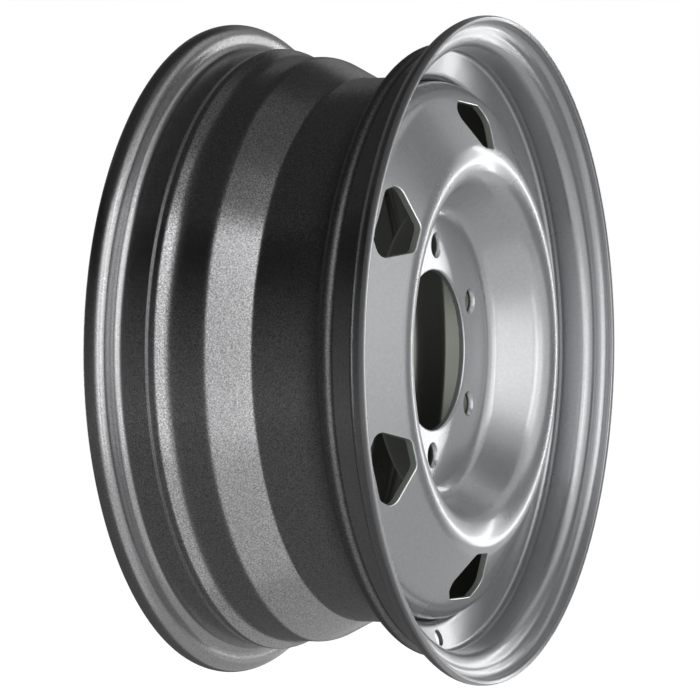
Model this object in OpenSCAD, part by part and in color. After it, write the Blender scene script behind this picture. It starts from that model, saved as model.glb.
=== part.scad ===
/* [Rim] */
// Diameter of the bead seat at the flange, a 16 inch rim
bead_d = 405.6; // [380:0.2:437]
// Width between the two flange faces, a 6.5 inch rim
rim_w = 165; // [150:0.5:205]
// Thickness of the rolled rim sheet
rim_t = 3; // [2.5:0.1:3.6]
// Distance of the hub face from the rim's centre plane
hub_offset = 44; // [34:0.5:52]

/* [Flange] */
// Height of the flange above the bead seat
flange_h = 17.3; // [16.5:0.1:18.5]
// Radius of the flange's curl on the tyre side
curl_r = 9.5; // [8:0.1:10]
// Angle that the curl goes on past its top
curl_past = 24; // [15:1:35]
// Straight run at the end of the curl
lip_run = 0.6; // [0.3:0.1:2]
// Radius of the heel between the bead seat and the flange
heel_r = 6.5; // [5:0.1:7]

/* [Bead seats] */
// Taper of both bead seats
seat_taper = 5; // [4:0.5:6]
// Width of the outboard bead seat
seat_front_w = 17.5; // [16:0.1:20]
// Width of the inboard bead seat
seat_rear_w = 20; // [17:0.1:22]
// Radius of the crease between a bead seat and its hump
crease_r = 4; // [3:0.1:6]
// Radius over the humps
hump_r = 6; // [5:0.1:7]
// Rise of the outboard hump's unrounded corner above its seat
hump_front_rise = 4; // [3.5:0.1:5]
// Distance of that corner from the end of the seat
hump_front_run = 8; // [7:0.1:10]
// Rise of the inboard hump's unrounded corner above its seat
hump_rear_rise = 2.4; // [2:0.1:3]
// Distance of that corner from the end of the seat
hump_rear_run = 5.2; // [4.5:0.1:6]

/* [Drop centre] */
// Depth of the well floor below the bead seat at the flange
well_depth = 21.3; // [18:0.1:25]
// Width of the well floor between its unrounded corners
well_w = 45.5; // [40:0.5:50]
// Steepness of the outboard well wall
well_wall_angle = 70; // [60:1:76]
// Radius between the well floor and its walls
well_r = 6; // [4:0.5:8]
// Steepness of the inboard cone from the well up to the ledge
cone_angle = 28; // [25:1:34]
// Depth below the bead seat of the ledge between the cone and the inboard hump
ledge_depth = 6.3; // [4:0.1:9]
// Radius over the shoulder between the cone and the ledge
shoulder_r = 12; // [6:0.5:16]
// Steepness of the rise from the ledge to the inboard hump
rise_angle = 31; // [24:1:40]
// Radius where the ledge starts to rise
rise_r = 18; // [6:0.5:24]

/* [Disc] */
// Thickness of the pressed disc
disc_t = 4.2; // [3.5:0.1:5]
// Diameter of the hub bore
bore_d = 106.2; // [90:0.1:112]
// Rounding of the bore's outboard edge
bore_edge_r = 1.5; // [0.5:0.1:2.5]
// Diameter of the mounting face to the unrounded foot of the bowl
face_d = 190.5; // [184:0.5:198]
// Radius at the foot of the bowl
bowl_foot_r = 11; // [6:0.5:14]
// Diameter of the crown at its unrounded corner
crown_d = 237.6; // [232:0.2:246]
// Height of that corner above the hub face
crown_h = 49.3; // [45:0.1:52]
// Radius over the crown
crown_r = 20; // [10:0.5:24]
// Height of the unrounded shoulder above the hub face
brim_h = 18.5; // [16:0.5:24]
// Radius over the shoulder
brim_r = 20; // [12:0.5:24]
// Length of skirt past the outboard corner of the well floor
skirt_reach = 30; // [22:0.5:36]
// Clearance between the skirt and the well
skirt_gap = 0.1; // [0.05:0.05:0.3]

/* [Stud holes] */
// Number of stud holes, and of vents in line with them
stud_count = 6; // [4:1:8]
// Diameter of the stud hole circle
stud_pcd = 139.7; // [130:0.1:150]
// Diameter of a stud hole
stud_d = 14.5; // [12.5:0.1:15.5]
// Diameter of the conical nut seat at the mounting face
nut_seat_d = 17.5; // [16.5:0.1:19]
// Included angle of the nut seat
nut_seat_angle = 60; // [55:1:90]

/* [Vents] */
// Distance of a vent's inner edge outside the crown's unrounded corner
vent_crown = 15.2; // [12:0.1:18]
// Width of the inner edge
vent_in_w = 19; // [14:0.5:24]
// Distance of a vent's widest corners inside its outer edge
vent_flare = 8.5; // [6:0.5:11]
// Width across the widest corners
vent_mid_w = 56; // [44:0.5:64]
// Distance of a vent's outer edge inside the skirt
vent_brim = 14.9; // [12:0.1:18]
// Width of the outer edge
vent_out_w = 35; // [28:0.5:40]
// Rounding of a vent's corners
vent_corner_r = 6; // [2:0.5:7]

/* [Valve hole] */
// Diameter of the valve hole
valve_d = 11.3; // [8:0.1:12]
// Height of its centre above the well floor, on the tyre side of the well wall
valve_rise = 10; // [8.5:0.1:11]

/* [Weld] */
// Number of weld seams between the skirt and the well
weld_count = 6; // [3:1:10]
// Length of a seam along the skirt
weld_l = 80; // [40:1:100]
// Leg of the seam's section
weld_leg = 4; // [3:0.1:5]

/* [Hidden] */
$fn = 128;

// Straight pieces in each rounded corner of a section
arc_steps = 8;
// Overrun of a cut past the sheet that it goes through
cut_over = 1;
// Most of a straight side that the arcs at its two ends may take up
arc_share = 0.95;
silver_paint = [0.66, 0.67, 0.69];
barrel_paint = [0.42, 0.43, 0.45];
weld_metal = [0.50, 0.51, 0.53];

// Both sections are drawn as [radius, height], with height 0 at the hub face and outboard up
bead_r = bead_d / 2;
face_z = rim_w / 2;
curl_run = curl_r * tan((90 + curl_past) / 2);
curl_peak_r = bead_r + flange_h - curl_r + curl_run;
lip_r = curl_peak_r - (curl_run + lip_run) * sin(curl_past);
lip_z = face_z + (curl_run + lip_run) * cos(curl_past);
well_floor_r = bead_r - well_depth;
well_in_r = well_floor_r - rim_t;

seat_front_r = bead_r - seat_front_w * tan(seat_taper);
hump_front = [seat_front_r + hump_front_rise, face_z - seat_front_w - hump_front_run];
well_front_z = hump_front.y - (hump_front.x - well_floor_r) / tan(well_wall_angle);
well_rear_z = well_front_z - well_w;
ledge_r = bead_r - ledge_depth;
shoulder = [ledge_r, well_rear_z - (ledge_r - well_floor_r) / tan(cone_angle)];
seat_rear_r = bead_r - seat_rear_w * tan(seat_taper);
hump_rear = [seat_rear_r + hump_rear_rise, seat_rear_w + hump_rear_run - face_z];
rise_z = hump_rear.y + (hump_rear.x - ledge_r) / tan(rise_angle);
ledge_share = arc_share / 2 * (shoulder.y - rise_z);
shoulder_bend = min(shoulder_r, ledge_share / tan(cone_angle / 2));
rise_bend = min(rise_r, ledge_share / tan(rise_angle / 2));

// One flange as [radius, height] corners from the lip down to the end of its bead seat
function flange(side, seat_w, seat_end_r) = [
    [lip_r, side * lip_z],
    [curl_peak_r, side * face_z],
    [bead_r, side * face_z],
    [seat_end_r, side * (face_z - seat_w)],
];
function backwards(list) = [for (i = [len(list) - 1:-1:0]) list[i]];

rim_corners = concat(
    flange(1, seat_front_w, seat_front_r),
    [hump_front, [well_floor_r, well_front_z], [well_floor_r, well_rear_z]],
    [shoulder, [ledge_r, rise_z], hump_rear],
    backwards(flange(-1, seat_rear_w, seat_rear_r))
);
flange_bends = [0, curl_r, heel_r, crease_r];
rim_bends = concat(
    flange_bends,
    [hump_r, well_r, well_r, shoulder_bend, rise_bend, hump_r],
    backwards(flange_bends)
);

skirt_r = well_in_r - skirt_gap;
skirt_end_z = well_front_z - hub_offset - skirt_reach;
disc_corners = [
    [bore_d / 2, disc_t],
    [face_d / 2, disc_t],
    [crown_d / 2, crown_h],
    [skirt_r, brim_h],
    [skirt_r, skirt_end_z],
];
disc_bends = [0, bowl_foot_r, crown_r, brim_r, 0];
bore_corner = [bore_d / 2, disc_t / 2];

vent_in_r = crown_d / 2 + vent_crown;
vent_out_r = skirt_r - vent_brim;
vent_mid_r = vent_out_r - vent_flare;
vent_corners = [
    [vent_in_r, -vent_in_w / 2],
    [vent_mid_r, -vent_mid_w / 2],
    [vent_out_r, -vent_out_w / 2],
    [vent_out_r, vent_out_w / 2],
    [vent_mid_r, vent_mid_w / 2],
    [vent_in_r, vent_in_w / 2],
];

// Direction from a to b, the unit normal on its left, and the turn at b on the way to c
function along(a, b) = (b - a) / norm(b - a);
function left(a, b) = let (e = along(a, b)) [-e.y, e.x];
function turn(a, b, c) = let (e = b - a, f = c - b) atan2(e.x * f.y - e.y * f.x, e * f);
function turned(v, angle) = [
    v.x * cos(angle) - v.y * sin(angle),
    v.x * sin(angle) + v.y * cos(angle),
];

// Points of the arc that rounds corner b with radius rad
function rounded(a, b, c, rad) = let (
    angle = turn(a, b, c),
    start = b - along(a, b) * rad * tan(abs(angle) / 2),
    centre = start + sign(angle) * rad * left(a, b)
) [for (k = [0:arc_steps]) centre + turned(start - centre, angle * k / arc_steps)];

// Corners of a path moved d to its left
function moved(p, d) = let (last = len(p) - 1) [for (i = [0:last])
    i == 0 ? p[0] + d * left(p[0], p[1])
    : i == last ? p[last] + d * left(p[last - 1], p[last])
    : let (m = left(p[i - 1], p[i]), n = left(p[i], p[i + 1])) p[i] + d * (m + n) / (1 + m * n)];

// One face of a bent sheet, d to the left of the path that its bends are given for
function sheet_face(p, bends, d) = let (q = moved(p, d), last = len(p) - 1) concat(
    [q[0]],
    [for (i = [1:last - 1])
        each rounded(q[i - 1], q[i], q[i + 1], bends[i] - sign(turn(p[i - 1], p[i], p[i + 1])) * d)],
    [q[last]]
);

// Largest radius that leaves room for the arcs at both ends of side a-b, with the turns at a and b
function side_limit(a, b, turn_a, turn_b) =
    arc_share * norm(b - a) / (tan(abs(turn_a) / 2) + tan(abs(turn_b) / 2));

// Closed outline with every corner rounded, as far as its sides have room
function rounded_outline(p, rad) = let (
    n = len(p),
    turns = [for (i = [0:n - 1]) turn(p[(i + n - 1) % n], p[i], p[(i + 1) % n])],
    room = min([for (i = [0:n - 1]) side_limit(p[i], p[(i + 1) % n], turns[i], turns[(i + 1) % n])])
) [for (i = [0:n - 1]) each rounded(p[(i + n - 1) % n], p[i], p[(i + 1) % n], min(rad, room))];

// Stands the wheel up: its axis lies along Y with outboard towards -Y
module upright() {
    rotate([90, 0, 0]) children();
}

// Repeats a feature at every stud position, the first one at the top
module at_studs() {
    for (i = [0:stud_count - 1]) rotate(90 + i * 360 / stud_count) children();
}

module rim_section() {
    polygon(concat(
        sheet_face(rim_corners, rim_bends, 0),
        backwards(sheet_face(rim_corners, rim_bends, -rim_t))
    ));
}

// Hole through the outboard well wall, square to it, at the bottom of the wheel
module valve_hole() {
    wall_z = well_front_z + valve_rise / tan(well_wall_angle);
    rotate(-90)
        translate([well_floor_r + valve_rise, 0, wall_z])
        rotate([0, well_wall_angle - 90, 0])
        cylinder(h = 2 * (rim_t + cut_over), d = valve_d, center = true);
}

// Rolled drop-centre rim with flanges, bead seats, humps and well
module rim() {
    color(barrel_paint)
    upright()
    translate([0, 0, -hub_offset])
    difference() {
        rotate_extrude() rim_section();
        valve_hole();
    }
}

module disc_section() {
    outboard = concat([bore_corner], rounded(bore_corner, disc_corners[0], disc_corners[1], bore_edge_r));
    face = sheet_face(disc_corners, disc_bends, 0);
    polygon(concat(
        outboard,
        [for (i = [1:len(face) - 1]) face[i]],
        backwards(sheet_face(disc_corners, disc_bends, -disc_t))
    ));
}

// Stud hole with a conical seat that opens towards the outboard face
module stud_hole() {
    slope = tan(nut_seat_angle / 2);
    seat_depth = (nut_seat_d - stud_d) / 2 / slope;
    translate([stud_pcd / 2, 0, -cut_over]) cylinder(h = disc_t + 2 * cut_over, d = stud_d);
    translate([stud_pcd / 2, 0, disc_t - seat_depth])
        cylinder(h = seat_depth + cut_over, d1 = stud_d, d2 = nut_seat_d + 2 * cut_over * slope);
}

module vent() {
    linear_extrude(height = crown_h) polygon(rounded_outline(vent_corners, vent_corner_r));
}

// Pressed disc with its mounting face, bowl, crown, vents and the skirt that fits the well
module disc() {
    color(silver_paint)
    upright()
    difference() {
        rotate_extrude() disc_section();
        at_studs() stud_hole();
        at_studs() vent();
    }
}

// Fillet weld seams along the end of the skirt, half way between the studs
module disc_weld() {
    span = weld_l / well_in_r * 180 / PI;
    root = [well_in_r, skirt_end_z];
    bead = [for (k = [0:arc_steps]) root - weld_leg * [cos(k * 90 / arc_steps), sin(k * 90 / arc_steps)]];
    color(weld_metal)
    upright()
    for (i = [0:weld_count - 1])
        rotate(i * 360 / weld_count - span / 2) rotate_extrude(angle = span) polygon(concat([root], bead));
}

rim();
disc();
disc_weld();
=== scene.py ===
import math

import bmesh
import bpy
from mathutils import Matrix, Vector, kdtree


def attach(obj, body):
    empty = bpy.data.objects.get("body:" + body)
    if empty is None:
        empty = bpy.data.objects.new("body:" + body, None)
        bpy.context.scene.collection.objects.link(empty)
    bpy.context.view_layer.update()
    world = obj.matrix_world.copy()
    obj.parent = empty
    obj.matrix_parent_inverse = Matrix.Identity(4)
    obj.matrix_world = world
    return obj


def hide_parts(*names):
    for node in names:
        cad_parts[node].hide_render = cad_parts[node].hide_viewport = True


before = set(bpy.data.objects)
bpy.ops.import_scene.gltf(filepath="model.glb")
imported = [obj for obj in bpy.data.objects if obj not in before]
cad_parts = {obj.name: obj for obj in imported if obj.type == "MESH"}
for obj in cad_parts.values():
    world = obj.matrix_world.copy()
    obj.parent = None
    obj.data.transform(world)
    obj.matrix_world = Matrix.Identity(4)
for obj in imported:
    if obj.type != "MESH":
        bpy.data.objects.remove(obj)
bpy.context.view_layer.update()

# Rim: a strip of 3 mm steel, rolled into a drop-centre ring with curled flanges, bead seats and humps.
# It was primed all over and sprayed silver from the outboard side, which leaves a grainy overspray on the
# tyre side; towards the outboard flange that side is painted darker, as painted shade, and duller.
# Sizes are in mm, and a section's points are (radius, height outboard of the hub face).
MM = 0.001
RIM_SHEET = 3.0
RIM_WIDTH = 165.0
HUB_OFFSET = 44.0
BEAD_R = 202.8
FLANGE_HEIGHT = 17.2
CURL_R = 9.5
CURL_PAST = math.radians(24)
LIP_RUN = 0.6
HEEL_R = 6.5
SEAT_TAPER = math.radians(5)
SEAT_FRONT_WIDTH = 17.5
SEAT_REAR_WIDTH = 20.0
CREASE_R = 4.0
HUMP_R = 6.0
HUMP_FRONT_RISE = 4.0
HUMP_FRONT_RUN = 8.0
HUMP_REAR_RISE = 2.4
HUMP_REAR_RUN = 5.2
WELL_DEPTH = 21.3
WELL_WIDTH = 45.5
WELL_WALL = math.radians(70)
WELL_BEND = 6.0
CONE_SLOPE = math.radians(28)
LEDGE_DEPTH = 6.3
SHOULDER_R = 12.0
RISE_SLOPE = math.radians(31)
RISE_R = 18.0
LIP_ROUND = 0.8
LIP_TRIM = 1.3
RIM_TURNS = 240
RIM_ARC_STEP = math.radians(6)
RING_CREASE = math.radians(34)
MERGE = 0.001
VALVE_D = 11.3
VALVE_RISE = 10.0
HOLE_SIDES = 48
CUT_OVER = 1.0
SILVER_FROM = -4.0
CURL_FROM = 75.0
LIP_SPRAY = 4.5
# Painted shade: along Y from 14 mm to -6 mm, towards the outboard flange, the barrel's colour is darkened by
# the colour factor; the rough factor makes it duller.
PAINTED_SHADE_FADE = {"from": 14.0, "to": -6.0, "colour": 0.45, "rough": 1.7}
NOISE_RANGE = (0.3, 0.7)
FLAKE_DETAIL = 2
DRIFT_SCALE = 14
GLOSS_DRIFT = 0.1
LACQUER_ROUGH = 0.08

face_front, face_rear = RIM_WIDTH / 2 - HUB_OFFSET, -RIM_WIDTH / 2 - HUB_OFFSET
curl_run = CURL_R * math.tan((math.pi / 2 + CURL_PAST) / 2)
curl_corner_r = BEAD_R + FLANGE_HEIGHT - CURL_R + curl_run
lip_r = curl_corner_r - (curl_run + LIP_RUN) * math.sin(CURL_PAST)
lip_out = (curl_run + LIP_RUN) * math.cos(CURL_PAST)
well_r, ledge_r = BEAD_R - WELL_DEPTH, BEAD_R - LEDGE_DEPTH
seat_front = (BEAD_R - SEAT_FRONT_WIDTH * math.tan(SEAT_TAPER), face_front - SEAT_FRONT_WIDTH)
seat_rear = (BEAD_R - SEAT_REAR_WIDTH * math.tan(SEAT_TAPER), face_rear + SEAT_REAR_WIDTH)
hump_front = (seat_front[0] + HUMP_FRONT_RISE, seat_front[1] - HUMP_FRONT_RUN)
hump_rear = (seat_rear[0] + HUMP_REAR_RISE, seat_rear[1] + HUMP_REAR_RUN)
well_front = (well_r, hump_front[1] - (hump_front[0] - well_r) / math.tan(WELL_WALL))
well_rear = (well_r, well_front[1] - WELL_WIDTH)
shoulder = (ledge_r, well_rear[1] - (ledge_r - well_r) / math.tan(CONE_SLOPE))
rise_foot = (ledge_r, hump_rear[1] + (hump_rear[0] - ledge_r) / math.tan(RISE_SLOPE))

rim_path = [(lip_r, face_front + lip_out), (curl_corner_r, face_front), (BEAD_R, face_front), seat_front,
            hump_front, well_front, well_rear, shoulder, rise_foot, hump_rear,
            seat_rear, (BEAD_R, face_rear), (curl_corner_r, face_rear), (lip_r, face_rear - lip_out)]
rim_bends = [0, CURL_R, HEEL_R, CREASE_R, HUMP_R, WELL_BEND, WELL_BEND,
             SHOULDER_R, RISE_R, HUMP_R, CREASE_R, HEEL_R, CURL_R, 0]


def sheet_face(corners, bends, gap, arc_step, ease=0.4):
    """One face of a bent sheet, gap to the left of its path, with a point just outside each bend's ends."""
    points = [Vector(c) for c in corners]
    ways = [(b - a).normalized() for a, b in zip(points, points[1:])]
    lefts = [w.orthogonal() for w in ways]
    moved = [points[0] + gap * lefts[0]]
    for point, before, after in zip(points[1:-1], lefts, lefts[1:]):
        moved.append(point + gap * (before + after) / (1 + before.dot(after)))
    moved.append(points[-1] + gap * lefts[-1])
    face = [moved[0]]
    for i in range(1, len(points) - 1):
        turn = ways[i].angle_signed(ways[i - 1])
        side = math.copysign(1, turn)
        bend = bends[i] - side * gap
        run = bend * math.tan(abs(turn) / 2)
        start = moved[i] - ways[i - 1] * run
        arm = -side * bend * lefts[i - 1]
        steps = max(2, round(abs(turn) / arc_step))
        face.append(start - ways[i - 1] * ease)
        face += [start - arm + Matrix.Rotation(turn * k / steps, 2) @ arm for k in range(steps + 1)]
        face.append(moved[i] + ways[i] * (run + ease))
    return face + [moved[-1]]


def trimmed(face):
    """A face of the sheet without the last bits, which its rounded edges take."""
    ends = (face[0], face[-1])
    return [p for p in face if all((p - end).length > LIP_TRIM * LIP_ROUND for end in ends)]


def round_edge(first, second, inward, steps=5):
    """The edge of the sheet with both corners rounded, from the end of one face to the end of the other."""
    across = (second - first).normalized()
    turns = [math.pi / 2 * k / steps for k in range(steps + 1)]
    start = first + LIP_ROUND * (across + inward)
    finish = second + LIP_ROUND * (inward - across)
    return ([start - LIP_ROUND * (math.cos(a) * across + math.sin(a) * inward) for a in turns]
            + [finish + LIP_ROUND * (math.sin(a) * across - math.cos(a) * inward) for a in turns])


def new_tree(name, inputs):
    """A Geometry Nodes tree with named inputs, each as (name, kind), and one Geometry output."""
    tree = bpy.data.node_groups.new(name, "GeometryNodeTree")
    for label, kind in inputs:
        tree.interface.new_socket(label, in_out="INPUT", socket_type="NodeSocket" + kind)
    tree.interface.new_socket("Geometry", in_out="OUTPUT", socket_type="NodeSocketGeometry")
    return tree, tree.nodes.new("NodeGroupInput").outputs, tree.nodes.new("NodeGroupOutput").inputs


# Copies of a shape, set round the axis
ROUND_INPUTS = [("Shape", "Object"), ("Count", "Int"), ("First angle", "Float"), ("Skin", "Material")]
set_round, given, result = new_tree("set_round", ROUND_INPUTS)
node, link = set_round.nodes.new, set_round.links.new
shape_info = node("GeometryNodeObjectInfo")
link(given["Shape"], shape_info.inputs["Object"])
spots, place = node("GeometryNodePoints"), node("GeometryNodeInputIndex")
link(given["Count"], spots.inputs["Count"])
step, angle = node("ShaderNodeMath"), node("ShaderNodeMath")
step.operation, angle.operation = "DIVIDE", "MULTIPLY_ADD"
step.inputs[0].default_value = 2 * math.pi
link(given["Count"], step.inputs[1])
link(place.outputs["Index"], angle.inputs[0])
link(step.outputs[0], angle.inputs[1])
link(given["First angle"], angle.inputs[2])
euler, spin = node("ShaderNodeCombineXYZ"), node("FunctionNodeEulerToRotation")
link(angle.outputs[0], euler.inputs["Z"])
link(euler.outputs[0], spin.inputs["Euler"])
copies, real = node("GeometryNodeInstanceOnPoints"), node("GeometryNodeRealizeInstances")
link(spots.outputs[0], copies.inputs["Points"])
link(shape_info.outputs["Geometry"], copies.inputs["Instance"])
link(spin.outputs[0], copies.inputs["Rotation"])
link(copies.outputs["Instances"], real.inputs["Geometry"])
skin = node("GeometryNodeSetMaterial")
link(real.outputs["Geometry"], skin.inputs["Geometry"])
link(given["Skin"], skin.inputs["Material"])
link(skin.outputs["Geometry"], result["Geometry"])


def new_object(name, verts, faces, edges=()):
    """An object from vertices in mm, in the lathe's frame: Z is the axis, outboard up."""
    mesh = bpy.data.meshes.new(name)
    mesh.from_pydata([Vector(v) * MM for v in verts], list(edges), faces)
    made = bpy.data.objects.new(name, mesh)
    bpy.context.scene.collection.objects.link(made)
    return made


def tube(name, rings):
    """A shape through rings of points, closed by one face at each end."""
    count = len(rings[0])
    faces = []
    for foot in range(0, (len(rings) - 1) * count, count):
        for i in range(count):
            after = (i + 1) % count
            faces.append((foot + i, foot + after, foot + count + after, foot + count + i))
    last = (len(rings) - 1) * count
    ends = [tuple(reversed(range(count))), tuple(range(last, last + count))]
    return new_object(name, [p for ring in rings for p in ring], faces + ends)


def hole_circle(radius):
    """Points (x, y) round a drilled or punched hole."""
    turns = [2 * math.pi * k / HOLE_SIDES for k in range(HOLE_SIDES)]
    return [(radius * math.cos(a), radius * math.sin(a)) for a in turns]


def settle(piece, tree, values, crease):
    """Gives the piece the mesh that the tree makes, stood up: its axis along Y, outboard towards -Y."""
    keys = {item.name: item.identifier for item in tree.interface.items_tree if item.in_out == "INPUT"}
    making = piece.modifiers.new("Making", "NODES")
    making.node_group = tree
    for label, value in values.items():
        making[keys[label]] = value
    bpy.context.view_layer.update()
    made = bpy.data.meshes.new_from_object(piece.evaluated_get(bpy.context.evaluated_depsgraph_get()))
    piece.modifiers.remove(making)
    made.name = piece.name
    piece.data = made
    made.transform(Matrix.Rotation(math.pi / 2, 4, "X"))
    bm = bmesh.new()
    bm.from_mesh(made)
    bmesh.ops.remove_doubles(bm, verts=bm.verts, dist=MERGE * MM)
    bmesh.ops.recalc_face_normals(bm, faces=bm.faces)
    bm.to_mesh(made)
    bm.free()
    made.shade_smooth()
    made.set_sharp_from_angle(angle=crease)


def turned_ring(name, section, turns, skin, cutters):
    """A closed section swept round the axis, less the cutters, each with its count, first angle and skin."""
    middle = sum(p.x for p in section) / len(section)
    profile = [(p.x - middle, -p.y, 0) for p in section]
    loop = [(i, (i + 1) % len(section)) for i in range(len(section))]
    piece = new_object(name, profile, [], loop)
    labels = [("Geometry", "Geometry"), ("Turns", "Int"), ("Radius", "Float"), ("Skin", "Material")]
    values = {"Turns": turns, "Radius": middle * MM, "Skin": skin}
    for k, cutter in enumerate(cutters):
        labels += [(f"{label} {k}", kind) for label, kind in ROUND_INPUTS]
        values.update({f"{label} {k}": value for (label, _), value in zip(ROUND_INPUTS, cutter)})
    tree, given, result = new_tree(name + "_sweep", labels)
    node, link = tree.nodes.new, tree.links.new
    curve, ring = node("GeometryNodeMeshToCurve"), node("GeometryNodeCurvePrimitiveCircle")
    link(given["Geometry"], curve.inputs["Mesh"])
    link(given["Turns"], ring.inputs["Resolution"])
    link(given["Radius"], ring.inputs["Radius"])
    sweep, painted = node("GeometryNodeCurveToMesh"), node("GeometryNodeSetMaterial")
    link(ring.outputs["Curve"], sweep.inputs["Curve"])
    link(curve.outputs["Curve"], sweep.inputs["Profile Curve"])
    link(sweep.outputs["Mesh"], painted.inputs["Geometry"])
    link(given["Skin"], painted.inputs["Material"])
    body = painted.outputs["Geometry"]
    for k in range(len(cutters)):
        tools, cut = node("GeometryNodeGroup"), node("GeometryNodeMeshBoolean")
        tools.node_tree = set_round
        for label, _ in ROUND_INPUTS:
            link(given[f"{label} {k}"], tools.inputs[label])
        cut.operation, cut.solver = "DIFFERENCE", "EXACT"
        link(body, cut.inputs["Mesh 1"])
        link(tools.outputs["Geometry"], cut.inputs["Mesh 2"])
        body = cut.outputs["Mesh"]
    link(body, result["Geometry"])
    settle(piece, tree, values, RING_CREASE)
    for cutter in cutters:
        bpy.data.objects.remove(cutter[0])
    return piece


def repaint(piece, section, zones):
    """Paints the faces that were swept from parts of the section, each zone as (skin, segments)."""
    ends = section[1:] + section[:1]
    counts = [math.ceil((b - a).length) for a, b in zip(section, ends)]
    marks = kdtree.KDTree(sum(counts))
    for i, (a, b, count) in enumerate(zip(section, ends, counts)):
        for k in range(count):
            mark = a.lerp(b, (k + 0.5) / count) * MM
            marks.insert((mark.x, -mark.y, 0), i)
    marks.balance()
    mesh = piece.data
    main = mesh.materials[0]
    swept = [p for p in mesh.polygons if mesh.materials[p.material_index] == main]
    owner = {p.index: marks.find((math.hypot(p.center.x, p.center.z), p.center.y, 0))[1] for p in swept}
    for skin, chosen in zones:
        mesh.materials.append(skin)
        for p in swept:
            if owner[p.index] in chosen:
                p.material_index = len(mesh.materials) - 1


def paint(name, colour, metallic, rough, grain, grain_size, shade_fade=None, lacquer=0.0):
    """Paint on steel: flakes and grain in its colour, grain_size mm across, and a slow drift in its gloss.

    Given a fade, the paint turns darker and duller along Y by the fade's colour and rough factors;
    the darkening is painted shade.
    """
    mat = bpy.data.materials.new(name)
    mat.use_nodes = True
    node, link = mat.node_tree.nodes.new, mat.node_tree.links.new
    shader = mat.node_tree.nodes["Principled BSDF"]
    where = node("ShaderNodeTexCoord")
    flakes, drift = node("ShaderNodeTexNoise"), node("ShaderNodeTexNoise")
    flakes.inputs["Scale"].default_value = 1 / (grain_size * MM)
    flakes.inputs["Detail"].default_value = FLAKE_DETAIL
    drift.inputs["Scale"].default_value = DRIFT_SCALE
    tone, gloss = node("ShaderNodeMapRange"), node("ShaderNodeMapRange")
    spreads = ((flakes, tone, 1, grain), (drift, gloss, rough, rough * GLOSS_DRIFT))
    for noise, spread, middle, swing in spreads:
        link(where.outputs["Object"], noise.inputs["Vector"])
        spread.inputs["From Min"].default_value, spread.inputs["From Max"].default_value = NOISE_RANGE
        spread.inputs["To Min"].default_value = middle - swing
        spread.inputs["To Max"].default_value = middle + swing
        spread.clamp = False
        link(noise.outputs["Fac"], spread.inputs["Value"])
    shade = node("ShaderNodeVectorMath")
    shade.operation = "SCALE"
    shade.inputs[0].default_value = colour
    strength, polish = tone.outputs["Result"], gloss.outputs["Result"]
    if shade_fade:
        split, share = node("ShaderNodeSeparateXYZ"), node("ShaderNodeMapRange")
        share.interpolation_type = "SMOOTHSTEP"
        share.inputs["From Min"].default_value = shade_fade["from"] * MM
        share.inputs["From Max"].default_value = shade_fade["to"] * MM
        link(where.outputs["Object"], split.inputs[0])
        link(split.outputs["Y"], share.inputs["Value"])
        # Darkening the colour along Y is painted shade; raising the roughness makes the coat duller.
        painted_shade, dulled = node("ShaderNodeMix"), node("ShaderNodeMix")
        for blend, full, factor in ((painted_shade, strength, shade_fade["colour"]), (dulled, polish, shade_fade["rough"])):
            scaled = node("ShaderNodeMath")
            scaled.operation = "MULTIPLY"
            scaled.inputs[1].default_value = factor
            link(full, scaled.inputs[0])
            link(share.outputs["Result"], blend.inputs["Factor"])
            link(full, blend.inputs["A"])
            link(scaled.outputs[0], blend.inputs["B"])
        strength, polish = painted_shade.outputs["Result"], dulled.outputs["Result"]
    link(strength, shade.inputs["Scale"])
    link(shade.outputs[0], shader.inputs["Base Color"])
    link(polish, shader.inputs["Roughness"])
    shader.inputs["Metallic"].default_value = metallic
    shader.inputs["Coat Weight"].default_value = lacquer
    shader.inputs["Coat Roughness"].default_value = LACQUER_ROUGH
    return mat


# The barrel paint is darkened towards the outboard flange, as painted shade.
barrel_paint = paint("barrel_paint", (0.43, 0.43, 0.437), metallic=1.0, rough=0.25,
                     grain=0.42, grain_size=1.0, shade_fade=PAINTED_SHADE_FADE)
curl_paint = paint("curl_paint", (0.42, 0.42, 0.427), metallic=1.0, rough=0.27, grain=0.2, grain_size=1.0)
flange_paint = paint("flange_paint", (0.468, 0.473, 0.485), metallic=0.88, rough=0.3,
                     grain=0.05, grain_size=2.0, lacquer=0.35)
primer = paint("primer", (0.17, 0.18, 0.156), metallic=0.8, rough=0.3, grain=0.06, grain_size=1.4)
cut_steel = paint("cut_steel", (0.26, 0.28, 0.247), metallic=0.5, rough=0.4, grain=0.1, grain_size=0.8)

tyre_side = sheet_face(rim_path, rim_bends, 0, RIM_ARC_STEP)
hub_side = sheet_face(rim_path, rim_bends, -RIM_SHEET, RIM_ARC_STEP)[::-1]
lip_way = (Vector(rim_path[1]) - Vector(rim_path[0])).normalized()
back_edge = round_edge(tyre_side[-1], hub_side[0], Vector((lip_way.x, -lip_way.y)))
front_edge = round_edge(hub_side[-1], tyre_side[0], lip_way)
outer, inner = trimmed(tyre_side), trimmed(hub_side)
rim_section = outer + back_edge + inner + front_edge

valve_foot = Vector((well_r + VALVE_RISE, 0, well_front[1] + VALVE_RISE / math.tan(WELL_WALL)))
square_to_wall = Matrix.Rotation(WELL_WALL - math.pi / 2, 3, "Y")
valve_ends = (-RIM_SHEET - CUT_OVER, RIM_SHEET + CUT_OVER)
valve_cutter = tube("valve_cutter", [[valve_foot + square_to_wall @ Vector((x, y, depth))
                                      for x, y in hole_circle(VALVE_D / 2)] for depth in valve_ends])

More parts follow.
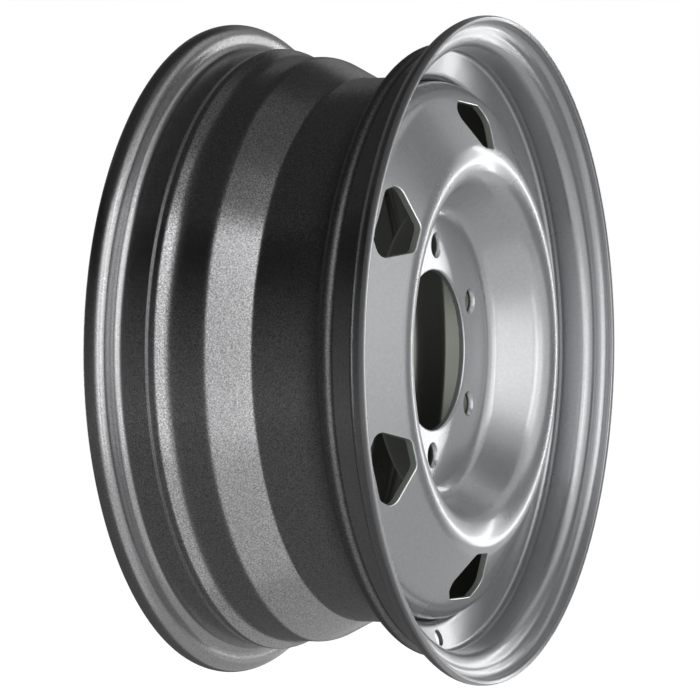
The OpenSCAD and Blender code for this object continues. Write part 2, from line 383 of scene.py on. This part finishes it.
rim_cutters = [(valve_cutter, 1, -math.pi / 2, cut_steel)]
rim = turned_ring("rim_ring", rim_section, RIM_TURNS, barrel_paint, rim_cutters)
hub_faces = range(len(outer) + len(back_edge), len(rim_section))
sprayed = {i for i in hub_faces if rim_section[i].y > SILVER_FROM}
lip = {i for i, p in enumerate(outer) if (p - tyre_side[0]).length < LIP_SPRAY}
curls = {i for i, p in enumerate(outer) if abs(p.y + HUB_OFFSET) > CURL_FROM} - lip
bare_primer = set(hub_faces) - sprayed
repaint(rim, rim_section, [(flange_paint, sprayed | lip), (curl_paint, curls), (primer, bare_primer)])
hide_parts("rim")
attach(rim, "root")

# Disc: 4.2 mm steel sheet, pressed into a bowl with a crown, pierced for the hub, studs and vents, and
# pushed by its skirt into the rim's well. Silver outboard, primer on the back; the vents' edges are coined.
DISC_SHEET = 4.2
BORE_R = 53.1
BORE_EDGE = 1.5
BORE_EDGE_STEPS = 8
FACE_R = 95.25
BOWL_FOOT_BEND = 11.0
CROWN = (118.8, 49.3)
CROWN_BEND = 20.0
BRIM_HEIGHT = 18.5
BRIM_BEND = 20.0
SKIRT_GAP = 0.1
SKIRT_REACH = 30.0
DISC_TURNS = 288
DISC_ARC_STEP = math.radians(4)
VENT_FROM_CROWN = 15.2
VENT_FROM_SKIRT = 14.9
VENT_FLARE = 8.5
VENT_IN_WIDTH = 19.0
VENT_MID_WIDTH = 56.0
VENT_OUT_WIDTH = 35.0
VENT_CORNER = 6.0
VENT_CORNER_STEPS = 8
VENT_EDGE = 0.9
VENT_EDGE_TURN = math.radians(78)
VENT_EDGE_STEPS = 5
VENT_EDGE_FOOT = (-1.0, -0.5)
VENT_EDGE_FLARE = 1.6
VENT_HOLE_GROW = 0.03
VENT_TOOL_LOW = -30.0
VENT_TOOL_HIGH = 6.0
STUDS = 6
FIRST_STUD = math.pi / 2
STUD_CIRCLE_R = 69.85
STUD_R = 7.25
STUD_TOOL_LOW = -2.0
NUT_SEAT_R = 8.75
NUT_SEAT_HALF = math.radians(30)
NUT_SEAT_OVER = 0.6

silver_paint = paint("silver_paint", (0.494, 0.5, 0.512), metallic=0.8, rough=0.28,
                     grain=0.05, grain_size=2.0, lacquer=0.5)
# The vents' coined edges carry the disc's silver, painted lighter here as a painted highlight along the vent
# rims.
edge_paint = paint("edge_paint", (0.65, 0.663, 0.65), metallic=0.7, rough=0.24,
                   grain=0.1, grain_size=0.8, lacquer=0.6)

skirt_r = well_r - RIM_SHEET - SKIRT_GAP
skirt_end = well_front[1] - SKIRT_REACH
disc_path = [(BORE_R, DISC_SHEET), (FACE_R, DISC_SHEET), CROWN, (skirt_r, BRIM_HEIGHT), (skirt_r, skirt_end)]
disc_bends = [0, BOWL_FOOT_BEND, CROWN_BEND, BRIM_BEND, 0]
outboard = sheet_face(disc_path, disc_bends, 0, DISC_ARC_STEP)
back = sheet_face(disc_path, disc_bends, -DISC_SHEET, DISC_ARC_STEP)[::-1]
bore_turns = [math.pi / 2 * k / BORE_EDGE_STEPS for k in range(BORE_EDGE_STEPS + 1)]
bore_edge = [Vector((BORE_R + BORE_EDGE * (1 - math.cos(a)), DISC_SHEET - BORE_EDGE * (1 - math.sin(a))))
             for a in bore_turns]
disc_section = bore_edge + outboard[1:] + back

vent_in_r, vent_out_r = CROWN[0] + VENT_FROM_CROWN, skirt_r - VENT_FROM_SKIRT
vent_half = [(vent_in_r, VENT_IN_WIDTH / 2), (vent_out_r - VENT_FLARE, VENT_MID_WIDTH / 2),
             (vent_out_r, VENT_OUT_WIDTH / 2)]
vent_corners = [Vector((r, -w)) for r, w in vent_half] + [Vector((r, w)) for r, w in reversed(vent_half)]
vent_outline = []
for i, at in enumerate(vent_corners):
    before, after = vent_corners[i - 1], vent_corners[(i + 1) % len(vent_corners)]
    way, turn = (at - before).normalized(), (after - at).angle_signed(at - before)
    centre = at - way * VENT_CORNER * math.tan(turn / 2) + VENT_CORNER * way.orthogonal()
    for k in range(VENT_CORNER_STEPS + 1):
        outward = Matrix.Rotation(turn * k / VENT_CORNER_STEPS, 2) @ -way.orthogonal()
        vent_outline.append((centre + VENT_CORNER * outward, outward))


def slope_height(p):
    """Height of the disc's slope between crown and brim over a point."""
    share = (math.hypot(p.x, p.y) - CROWN[0]) / (skirt_r - CROWN[0])
    return CROWN[1] + share * (BRIM_HEIGHT - CROWN[1])


def vent_tool(name, levels):
    """A tool in the vent's outline, through levels as (growth of the outline, height above the slope)."""
    rings = []
    for grow, level in levels:
        spread = [p + grow * out for p, out in vent_outline]
        rings.append([(p.x, p.y, slope_height(p) + level) for p in spread])
    return tube(name, rings)


edge_turns = [VENT_EDGE_TURN * k / VENT_EDGE_STEPS for k in range(VENT_EDGE_STEPS + 1)]
edge_levels = [(VENT_EDGE_FOOT[0], VENT_EDGE_FOOT[1] - VENT_EDGE)]
edge_levels += [(VENT_EDGE * (1 - math.cos(a)), -VENT_EDGE * (1 - math.sin(a))) for a in edge_turns]
edge_levels.append((VENT_EDGE_FLARE * VENT_EDGE, VENT_TOOL_HIGH))
vent_edge = vent_tool("vent_edge", edge_levels)
vent_hole = vent_tool("vent_hole", [(VENT_HOLE_GROW, VENT_TOOL_LOW), (VENT_HOLE_GROW, VENT_TOOL_HIGH)])

seat_foot = DISC_SHEET - (NUT_SEAT_R - STUD_R) / math.tan(NUT_SEAT_HALF)
seat_head = DISC_SHEET + NUT_SEAT_OVER / math.tan(NUT_SEAT_HALF)
stud_levels = [(STUD_R, STUD_TOOL_LOW), (STUD_R, seat_foot), (NUT_SEAT_R + NUT_SEAT_OVER, seat_head)]
stud_cutter = tube("stud_cutter", [[(STUD_CIRCLE_R + x, y, level) for x, y in hole_circle(r)]
                                   for r, level in stud_levels])

# The vent_edge cutter leaves the coined edges in the lighter paint: a painted highlight.
disc_cutters = [(vent_edge, STUDS, FIRST_STUD, edge_paint), (vent_hole, STUDS, FIRST_STUD, cut_steel),
                (stud_cutter, STUDS, FIRST_STUD, silver_paint)]
disc = turned_ring("disc_pressing", disc_section, DISC_TURNS, silver_paint, disc_cutters)
disc_back = set(range(len(bore_edge) + len(outboard) - 1, len(disc_section) - 1))
repaint(disc, disc_section, [(primer, disc_back)])
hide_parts("disc")
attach(disc, "root")

# Weld seams: six arc-welded fillets that join the end of the disc's skirt to the inside of the well.
# Each is a run of overlapping ripples with rounded ends, under the same primer as the metal round it.
WELDS = 6
WELD_LEG = 3.95
WELD_LENGTH = 80.0
WELD_STATIONS = 200
WELD_STEPS = 10
WELD_END = 5.0
WELD_END_SHARE = 0.35
RIPPLE = 2.4
RIPPLE_DEPTH = 0.16
RIPPLE_BOW = 0.6
WELD_CREASE = math.radians(60)

weld_paint = paint("seam_paint", (0.21, 0.22, 0.195), metallic=0.7, rough=0.38, grain=0.14, grain_size=1.2)

root_r, root_z = well_r - RIM_SHEET, skirt_end
weld_rings = []
for i in range(WELD_STATIONS + 1):
    run = WELD_LENGTH * i / WELD_STATIONS
    turn = (run - WELD_LENGTH / 2) / root_r
    from_end = min(run, WELD_LENGTH - run)
    taper = WELD_END_SHARE + (1 - WELD_END_SHARE) * math.sqrt(1 - max(0, 1 - from_end / WELD_END) ** 2)
    ring = [(root_r, root_z)]
    for k in range(WELD_STEPS + 1):
        lean = math.pi / 2 * k / WELD_STEPS
        scale = (run / RIPPLE + RIPPLE_BOW * math.sin(2 * lean)) % 1
        leg = WELD_LEG * taper * (1 - RIPPLE_DEPTH * (1 - scale) ** 2 * math.sin(2 * lean))
        ring.append((root_r - leg * math.cos(lean), root_z - leg * math.sin(lean)))
    weld_rings.append([(r * math.cos(turn), r * math.sin(turn), z) for r, z in ring])
weld_seam = tube("weld_seam", weld_rings)
weld = new_object("weld_seams", [], [])
weld_values = {"Shape": weld_seam, "Count": WELDS, "First angle": 0.0, "Skin": weld_paint}
settle(weld, set_round, weld_values, WELD_CREASE)
bpy.data.objects.remove(weld_seam)
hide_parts("disc_weld")
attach(weld, "root")

# Studio: a pale floor well below the wheel in a white room, with nothing else in view.
# Pale cards and dark flags, which only reflections and soft light meet, stand round it, over it and under
# it, so that its bends show bright and dark bands. Four tall lamps and two small ones light it.
FLOOR_Z = -0.9
FLOOR_HALF = 12.0
FLOOR_COLOUR = (0.8, 0.8, 0.8, 1)
FLOOR_ROUGH = 0.9
FLOOR_LIFT = 0.82
WHITE = (1, 1, 1, 1)
ROOM_SOFT = 0.24
CAMERA_AT = (-1.9865, -0.8459, -0.0404)
CAMERA_TURN = (91.052, -0.972, -65.564)
CAMERA_LENS = 166.94
CARD_R = 1.7
CARD_LOW, CARD_HIGH = -0.8, 1.5
TONE_LOW, TONE_HIGH = -0.8, 0.8
TOP_GREY_R = 0.8
heading = math.radians(CAMERA_TURN[2])


def around(azimuth, away, height):
    """A place by its azimuth in degrees from the camera's side, positive to the camera's right."""
    a = heading + math.radians(azimuth)
    return Vector((away * math.sin(a), -away * math.cos(a), height))


def staged(name, verts, faces):
    """A studio object with its own material, which is no part of the wheel."""
    mesh = bpy.data.meshes.new(name)
    mesh.from_pydata(verts, [], faces)
    made = bpy.data.objects.new(name, mesh)
    bpy.context.scene.collection.objects.link(made)
    made.data.materials.append(bpy.data.materials.new(name))
    made.data.materials[0].use_nodes = True
    return made


def seen_rays(tree):
    """1 for the rays that show the background: from the camera, off metal and through glass."""
    path = tree.nodes.new("ShaderNodeLightPath")
    total = path.outputs["Is Camera Ray"]
    for ray in ("Is Glossy Ray", "Is Transmission Ray"):
        either = tree.nodes.new("ShaderNodeMath")
        either.operation = "MAXIMUM"
        tree.links.new(total, either.inputs[0])
        tree.links.new(path.outputs[ray], either.inputs[1])
        total = either.outputs[0]
    return total


def card(name, edges, low_tone, high_tone):
    """A card between pairs of points, which no camera ray meets and which throws no shadow.

    Its tone goes from low_tone at TONE_LOW to high_tone at TONE_HIGH.
    """
    faces = [(2 * k, 2 * k + 1, 2 * k + 3, 2 * k + 2) for k in range(len(edges) - 1)]
    made = staged(name, [p for edge in edges for p in edge], faces)
    made.visible_camera = False
    made.visible_shadow = False
    tree = made.data.materials[0].node_tree
    tree.nodes.remove(tree.nodes["Principled BSDF"])
    glow = tree.nodes.new("ShaderNodeEmission")
    where, split, fade = [tree.nodes.new(kind) for kind in
                          ("ShaderNodeTexCoord", "ShaderNodeSeparateXYZ", "ShaderNodeMapRange")]
    fade.inputs["From Min"].default_value, fade.inputs["From Max"].default_value = TONE_LOW, TONE_HIGH
    fade.inputs["To Min"].default_value, fade.inputs["To Max"].default_value = low_tone, high_tone
    tree.links.new(where.outputs["Object"], split.inputs[0])
    tree.links.new(split.outputs["Z"], fade.inputs["Value"])
    tree.links.new(fade.outputs["Result"], glow.inputs["Strength"])
    tree.links.new(glow.outputs[0], tree.nodes["Material Output"].inputs["Surface"])


def wall_card(name, first, last, low_tone, high_tone, steps=12):
    """An upright card round the wheel, from one azimuth to another."""
    turns = [first + (last - first) * k / steps for k in range(steps + 1)]
    card(name, [[around(a, CARD_R, z) for z in (CARD_LOW, CARD_HIGH)] for a in turns], low_tone, high_tone)


def flat_card(name, first, last, height, tone, near=0.0, far=CARD_R, steps=18):
    """A level card over or under the wheel, from one azimuth to another."""
    turns = [first + (last - first) * k / steps for k in range(steps + 1)]
    card(name, [[around(a, away, height) for away in (near, far)] for a in turns], tone, tone)


wall_card("left_flag", -98, -8, 0.16, 0.015)
wall_card("front_card", -8, 55, 0.77, 0.77)
wall_card("right_card", 55, 90, 0.65, 0.89)
wall_card("right_flag", 88, 122, 0.15, 0.15)
wall_card("back_card", 122, 146, 0.68, 0.44)
wall_card("back_grey", 146, 176, 0.77, 0.27)
wall_card("back_flag", 176, 262, 0.11, 0.11)
flat_card("top_flag", -215, 12, CARD_HIGH, 0.04)
flat_card("top_grey", 12, 145, CARD_HIGH, 0.12, far=TOP_GREY_R)
flat_card("top_card", 12, 145, CARD_HIGH, 0.54, near=TOP_GREY_R)
flat_card("ground_flag", 180, 348, CARD_LOW, 0.12)
flat_card("ground_white", -12, 68, CARD_LOW, 0.7)
flat_card("ground_grey", 68, 180, CARD_LOW, 0.46)

floor_corners = [(x * FLOOR_HALF, y * FLOOR_HALF, FLOOR_Z) for x, y in ((-1, -1), (1, -1), (1, 1), (-1, 1))]
floor = staged("floor", floor_corners, [(0, 1, 2, 3)])
floor_tree = floor.data.materials[0].node_tree
floor_shader = floor_tree.nodes["Principled BSDF"]
floor_shader.inputs["Base Color"].default_value = FLOOR_COLOUR
floor_shader.inputs["Roughness"].default_value = FLOOR_ROUGH
floor_shader.inputs["Emission Color"].default_value = WHITE
floor_lift = floor_tree.nodes.new("ShaderNodeMath")
floor_lift.operation = "MULTIPLY"
floor_lift.inputs[1].default_value = FLOOR_LIFT
floor_tree.links.new(seen_rays(floor_tree), floor_lift.inputs[0])
floor_tree.links.new(floor_lift.outputs[0], floor_shader.inputs["Emission Strength"])

room = bpy.data.worlds.new("room")
bpy.context.scene.world = room
room.use_nodes = True
room_light = room.node_tree.nodes["Background"]
room_light.inputs["Color"].default_value = WHITE
room_level = room.node_tree.nodes.new("ShaderNodeMapRange")
room_level.inputs["To Min"].default_value = ROOM_SOFT
room.node_tree.links.new(seen_rays(room.node_tree), room_level.inputs["Value"])
room.node_tree.links.new(room_level.outputs["Result"], room_light.inputs["Strength"])


def lamp(name, azimuth, height, away, wide, tall, power):
    """A rectangular lamp that stands upright and faces the wheel's axis."""
    light = bpy.data.lights.new(name, "AREA")
    light.shape = "RECTANGLE"
    light.size, light.size_y, light.energy = wide, tall, power
    made = bpy.data.objects.new(name, light)
    bpy.context.scene.collection.objects.link(made)
    made.location = around(azimuth, away, height)
    made.rotation_euler = (-around(azimuth, away, 0)).to_track_quat("-Z", "Y").to_euler()
    made.visible_camera = False


lamp("key_left", azimuth=9, height=0.05, away=1.26, wide=0.22, tall=2.2, power=2.55)
lamp("key", azimuth=31, height=0.55, away=1.26, wide=0.26, tall=1.5, power=2.6)
lamp("key_low", azimuth=31, height=-0.5, away=1.26, wide=0.26, tall=0.6, power=0.58)
lamp("key_right", azimuth=50, height=0.4, away=1.26, wide=0.24, tall=1.4, power=1.25)
lamp("back", azimuth=133, height=0.25, away=1.6, wide=0.12, tall=1.1, power=1.8)
lamp("rear", azimuth=-114, height=0.0, away=1.6, wide=0.6, tall=0.6, power=2.15)

view = bpy.data.cameras.new("camera")
camera = bpy.data.objects.new("camera", view)
bpy.context.scene.collection.objects.link(camera)
camera.location = CAMERA_AT
camera.rotation_euler = [math.radians(a) for a in CAMERA_TURN]
view.lens = CAMERA_LENS
bpy.context.scene.camera = camera
bpy.context.scene.view_settings.view_transform = "Standard"
